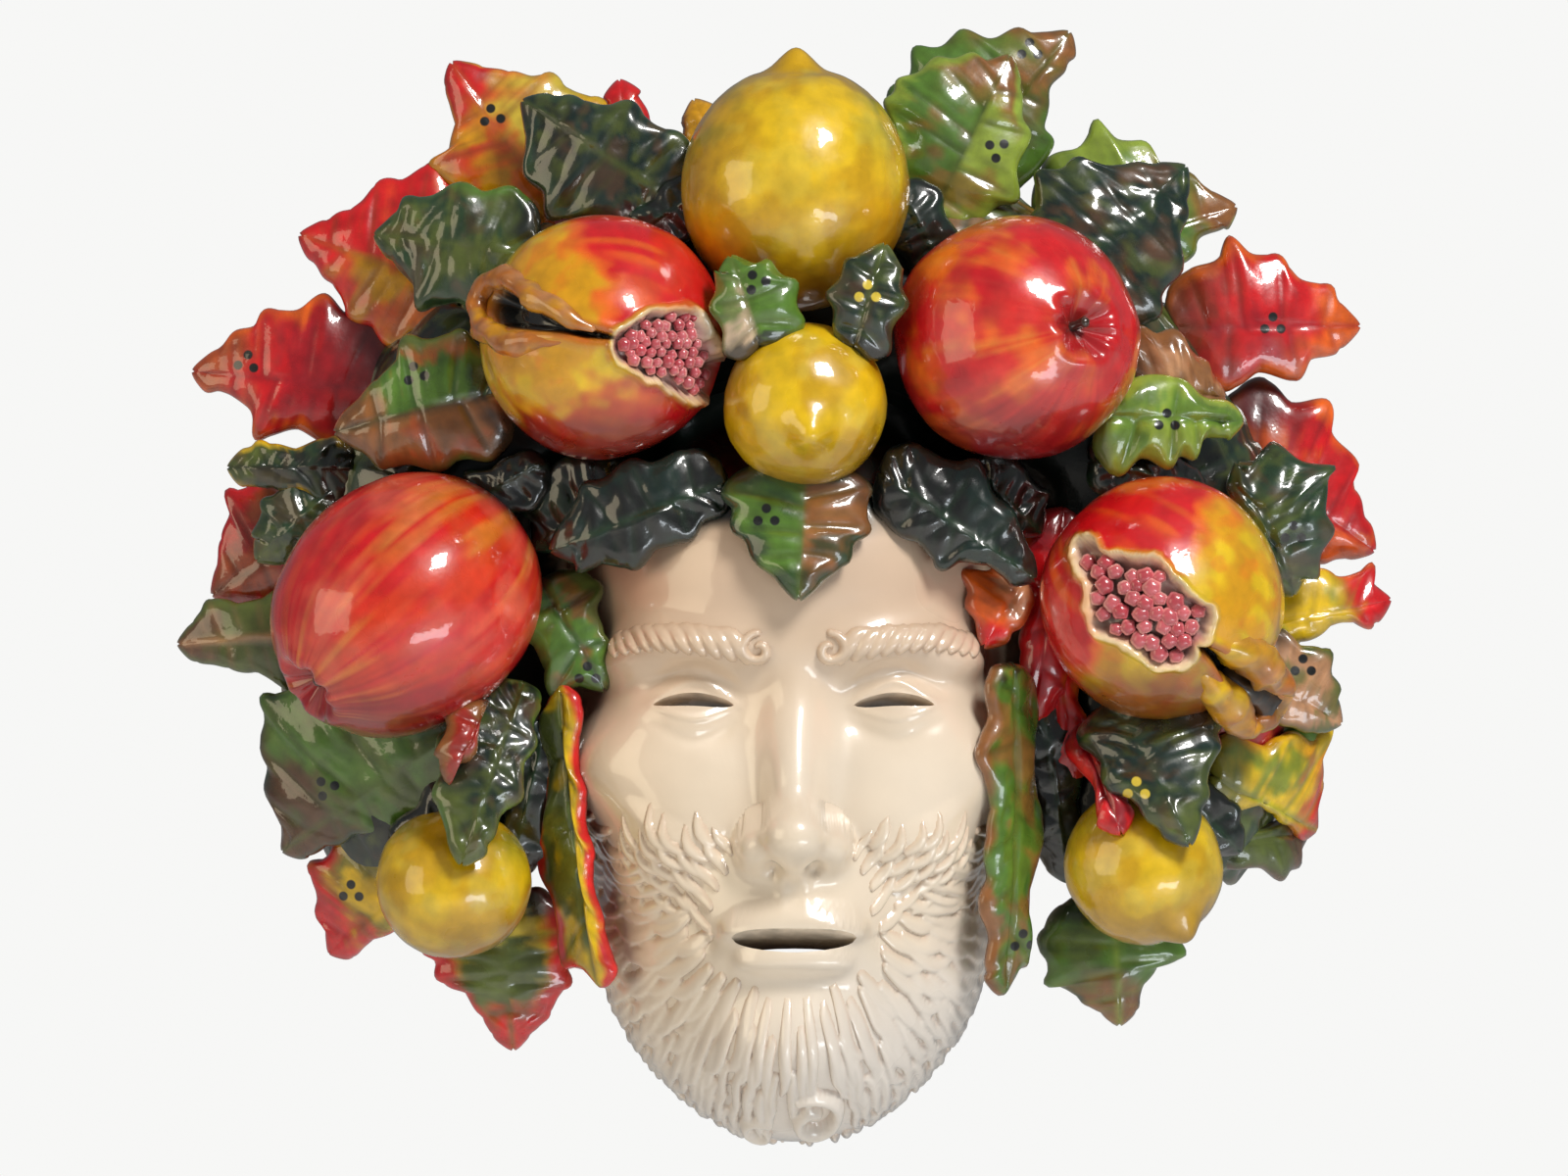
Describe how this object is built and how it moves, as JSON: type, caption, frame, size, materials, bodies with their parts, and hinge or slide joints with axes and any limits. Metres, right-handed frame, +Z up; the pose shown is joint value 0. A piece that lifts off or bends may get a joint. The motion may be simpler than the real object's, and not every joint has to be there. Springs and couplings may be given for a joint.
{
  "type": "bacchus mask",
  "caption": "Hollow glazed ceramic wall mask: a calm bearded face with pierced eyes and mouth inside a horseshoe wreath of fruit and vine leaves",
  "frame": {"origin": "on the flat back of the hanging shelf, in the wall plane, on the mask's middle line", "axes": "+X to the right of someone facing the mask, +Y into the wall, +Z up"},
  "size_m": [0.3969, 0.1193, 0.3666],
  "materials": {
    "glazed_clay": "hand-painted gloss glaze: cream face, yellow and red fruit, green to red leaves"
  },
  "bodies": {
    "root": {"mask": "glazed_clay"}
  },
  "joints": []
}
